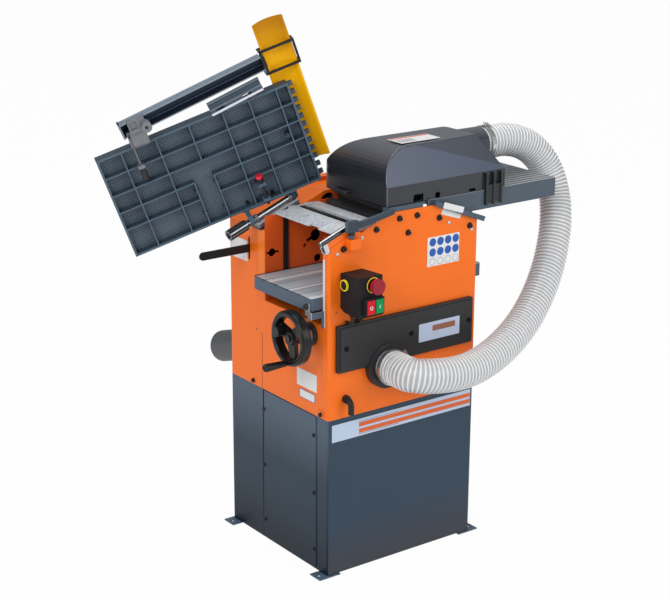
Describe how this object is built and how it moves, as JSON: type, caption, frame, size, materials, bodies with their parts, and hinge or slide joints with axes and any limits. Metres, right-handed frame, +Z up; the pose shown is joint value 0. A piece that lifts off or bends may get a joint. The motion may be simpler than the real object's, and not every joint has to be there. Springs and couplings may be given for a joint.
{
  "type": "combination planer thicknesser",
  "caption": "Floor-standing combination planer thicknesser with raised infeed table, fixed outfeed table, rising thicknessing table and hose-fed chip extraction.",
  "frame": {"origin": "centre of the four floor bolt holes, on the floor", "axes": "+X along the feed, from the infeed end to the outfeed end; -Y towards the switch side; +Z up"},
  "size_m": [1.3217, 0.8043, 1.4611],
  "materials": {
    "cabinet_paint": "fine satin powder coat",
    "bracket_paint": "satin paint",
    "body_paint": "satin powder coat",
    "black_steel": "satin black",
    "cast_aluminium": "as cast",
    "table_casting": "cross-hatched cast finish",
    "moulded_black": "fine moulded grain",
    "hose_plastic": "milky ribbed",
    "clamp_steel": "bright",
    "duct_steel": "satin grey",
    "belt_rubber": "matt",
    "machined_steel": "machined",
    "nut_brass": "machined",
    "fence_paint": "satin anodised",
    "guard_yellow": "satin",
    "red_plastic": "gloss",
    "green_plastic": "gloss",
    "yellow_plastic": "gloss"
  },
  "bodies": {
    "frame": {"base_cabinet": "cabinet_paint", "floor_brackets": "bracket_paint", "access_panel": "cabinet_paint", "panel_screws": "black_steel", "near_side_panel": "body_paint", "drive_housing": "body_paint", "end_panels": "body_paint", "passage_walls": "body_paint", "table_guides": "black_steel", "bridge_plates": "cast_aluminium", "cutter_bearings": "duct_steel", "near_rail": "cast_aluminium", "hinge_bracket": "cast_aluminium", "rear_rail": "table_casting", "outfeed_table": "table_casting", "chip_hood": "moulded_black", "hose_clamps": "clamp_steel", "hose": "hose_plastic", "fan_cover": "moulded_black", "fan_housing": "duct_steel", "outlet_spigot": "duct_steel", "motor": "duct_steel", "drive_belts": "belt_rubber", "lift_bracket": "black_steel", "wheel_bearing": "moulded_black", "switch_box": "moulded_black", "switch_cables": "belt_rubber", "mains_inlet": "moulded_black", "feed_gearbox": "duct_steel"},
    "infeed_table_body": {"infeed_table": "table_casting", "table_rail": "table_casting", "fence_bracket": "cast_aluminium", "fence": "fence_paint", "guard_holder": "moulded_black", "bridge_guard": "guard_yellow"},
    "clamp_rod_body": {"clamp_rod": "moulded_black"},
    "latch_pin_body": {"latch_pin": "red_plastic"},
    "thickness_table_body": {"thickness_table": "machined_steel", "lift_screws": "clamp_steel"},
    "near_lift_nut_body": {"near_lift_nut": "nut_brass"},
    "far_lift_nut_body": {"far_lift_nut": "nut_brass"},
    "handwheel_body": {"handwheel": "moulded_black", "wheel_shaft": "clamp_steel"},
    "crank_handle_body": {"crank_handle": "moulded_black"},
    "wheel_lock_knob_body": {"wheel_lock_knob": "moulded_black"},
    "cutter_block_body": {"cutter_block": "machined_steel", "cutter_knives": "machined_steel"},
    "infeed_roller_body": {"infeed_roller": "machined_steel"},
    "outfeed_roller_body": {"outfeed_roller": "belt_rubber"},
    "motor_rotor_body": {"motor_rotor": "machined_steel"},
    "fan_impeller_body": {"fan_impeller": "duct_steel"},
    "feed_output_body": {"feed_output": "clamp_steel"},
    "feed_lever_body": {"feed_lever": "moulded_black"},
    "estop_button_body": {"estop_button": "red_plastic"},
    "stop_button_body": {"stop_button": "red_plastic"},
    "start_button_body": {"start_button": "green_plastic"},
    "mode_knob_body": {"mode_knob": "yellow_plastic"},
    "clamp_lever_body": {"clamp_lever": "table_casting"},
    "kickback_fingers_body": {"kickback_fingers": "black_steel"},
    "depth_grip_body": {"depth_grip": "moulded_black"}
  },
  "joints": [
    {"name": "table_hinge", "type": "hinge", "parent": "frame", "child": "infeed_table_body", "pos_m": [-0.194, 0.08, 0.952], "axis": [0.9304, 0, 0.3665], "range_deg": [0, 4]},
    {"name": "clamp_knob_turn", "type": "hinge", "parent": "infeed_table_body", "child": "clamp_rod_body", "pos_m": [-0.55096, 0.18315, 1.11044], "axis": [0.3664, -0.0175, -0.9303], "range_deg": [-170, 170]},
    {"name": "latch_turn", "type": "hinge", "parent": "infeed_table_body", "child": "latch_pin_body", "pos_m": [-0.23309, 0.08077, 1.00108], "axis": [0.3664, -0.0175, -0.9303], "range_deg": [-90, 90]},
    {"name": "lift", "type": "slide", "parent": "frame", "child": "thickness_table_body", "axis": [0, 0, 1], "range_m": [-0.013, 0.139]},
    {"name": "near_nut_turn", "type": "hinge", "parent": "frame", "child": "near_lift_nut_body", "pos_m": [0.03, -0.1535, 0.64], "axis": [0, 0, 1], "continuous": true},
    {"name": "far_nut_turn", "type": "hinge", "parent": "frame", "child": "far_lift_nut_body", "pos_m": [0.03, 0.0045, 0.62], "axis": [0, 0, 1], "continuous": true},
    {"name": "handwheel_turn", "type": "hinge", "parent": "frame", "child": "handwheel_body", "pos_m": [-0.32, -0.1535, 0.667], "axis": [1, 0, 0], "continuous": true},
    {"name": "crank_grip_turn", "type": "hinge", "parent": "handwheel_body", "child": "crank_handle_body", "pos_m": [-0.33, -0.1535, 0.602], "axis": [1, 0, 0], "continuous": true},
    {"name": "wheel_lock_turn", "type": "hinge", "parent": "handwheel_body", "child": "wheel_lock_knob_body", "pos_m": [-0.31, -0.1195, 0.68], "axis": [1, 0, 0], "range_deg": [-60, 60]},
    {"name": "motor_turn", "type": "hinge", "parent": "frame", "child": "motor_rotor_body", "pos_m": [0.06, 0, 0.19], "axis": [0, 1, 0], "continuous": true},
    {"name": "cutter_turn", "type": "hinge", "parent": "frame", "child": "cutter_block_body", "pos_m": [0.02, 0, 0.957], "axis": [0, 1, 0], "continuous": true},
    {"name": "fan_turn", "type": "hinge", "parent": "frame", "child": "fan_impeller_body", "pos_m": [-0.066, 0.12, 0.57], "axis": [0, 1, 0], "continuous": true},
    {"name": "feed_drive_turn", "type": "hinge", "parent": "frame", "child": "feed_output_body", "pos_m": [0.02, 0.09, 0.856], "axis": [0, 1, 0], "continuous": true},
    {"name": "infeed_roller_turn", "type": "hinge", "parent": "frame", "child": "infeed_roller_body", "pos_m": [-0.034, 0, 0.94], "axis": [0, 1, 0], "continuous": true},
    {"name": "outfeed_roller_turn", "type": "hinge", "parent": "frame", "child": "outfeed_roller_body", "pos_m": [0.074, 0, 0.94], "axis": [0, 1, 0], "continuous": true},
    {"name": "feed_lever_turn", "type": "hinge", "parent": "frame", "child": "feed_lever_body", "pos_m": [-0.1735, 0.132, 0.832], "axis": [0, 1, 0], "range_deg": [-7, 7]},
    {"name": "estop_press", "type": "slide", "parent": "frame", "child": "estop_button_body", "axis": [0, 1, 0], "range_m": [0, 0.004], "stiffness_N_per_m": 1500, "springref_m": -0.002},
    {"name": "stop_press", "type": "slide", "parent": "frame", "child": "stop_button_body", "axis": [0, 1, 0], "range_m": [0, 0.003], "stiffness_N_per_m": 1200, "springref_m": -0.002},
    {"name": "start_press", "type": "slide", "parent": "frame", "child": "start_button_body", "axis": [0, 1, 0], "range_m": [0, 0.003], "stiffness_N_per_m": 1200, "springref_m": -0.002},
    {"name": "mode_turn", "type": "hinge", "parent": "frame", "child": "mode_knob_body", "pos_m": [-0.215, -0.255, 0.817], "axis": [1, 0, 0], "range_deg": [-60, 60]},
    {"name": "clamp_lever_turn", "type": "hinge", "parent": "frame", "child": "clamp_lever_body", "pos_m": [-0.1835, -0.241, 0.94], "axis": [0, 0, 1], "range_deg": [-35, 0]},
    {"name": "finger_swing", "type": "hinge", "parent": "frame", "child": "kickback_fingers_body", "pos_m": [-0.133, 0, 0.943], "axis": [0, 1, 0], "range_deg": [-4, 4]},
    {"name": "depth_grip_turn", "type": "hinge", "parent": "frame", "child": "depth_grip_body", "pos_m": [-0.31495, 0.08, 0.90436], "axis": [0.9304, 0, 0.3665], "continuous": true}
  ],
  "couplings": [
    {"joint": "near_nut_turn", "follows": "lift", "rad_per_m": 1256.6},
    {"joint": "far_nut_turn", "follows": "lift", "rad_per_m": 1256.6},
    {"joint": "handwheel_turn", "follows": "lift", "rad_per_m": 1256.6},
    {"joint": "cutter_turn", "follows": "motor_turn", "ratio": 2.1429},
    {"joint": "fan_turn", "follows": "motor_turn", "ratio": 1},
    {"joint": "feed_drive_turn", "follows": "motor_turn", "ratio": 0.02},
    {"joint": "infeed_roller_turn", "follows": "motor_turn", "ratio": 0.02},
    {"joint": "outfeed_roller_turn", "follows": "motor_turn", "ratio": 0.02}
  ]
}
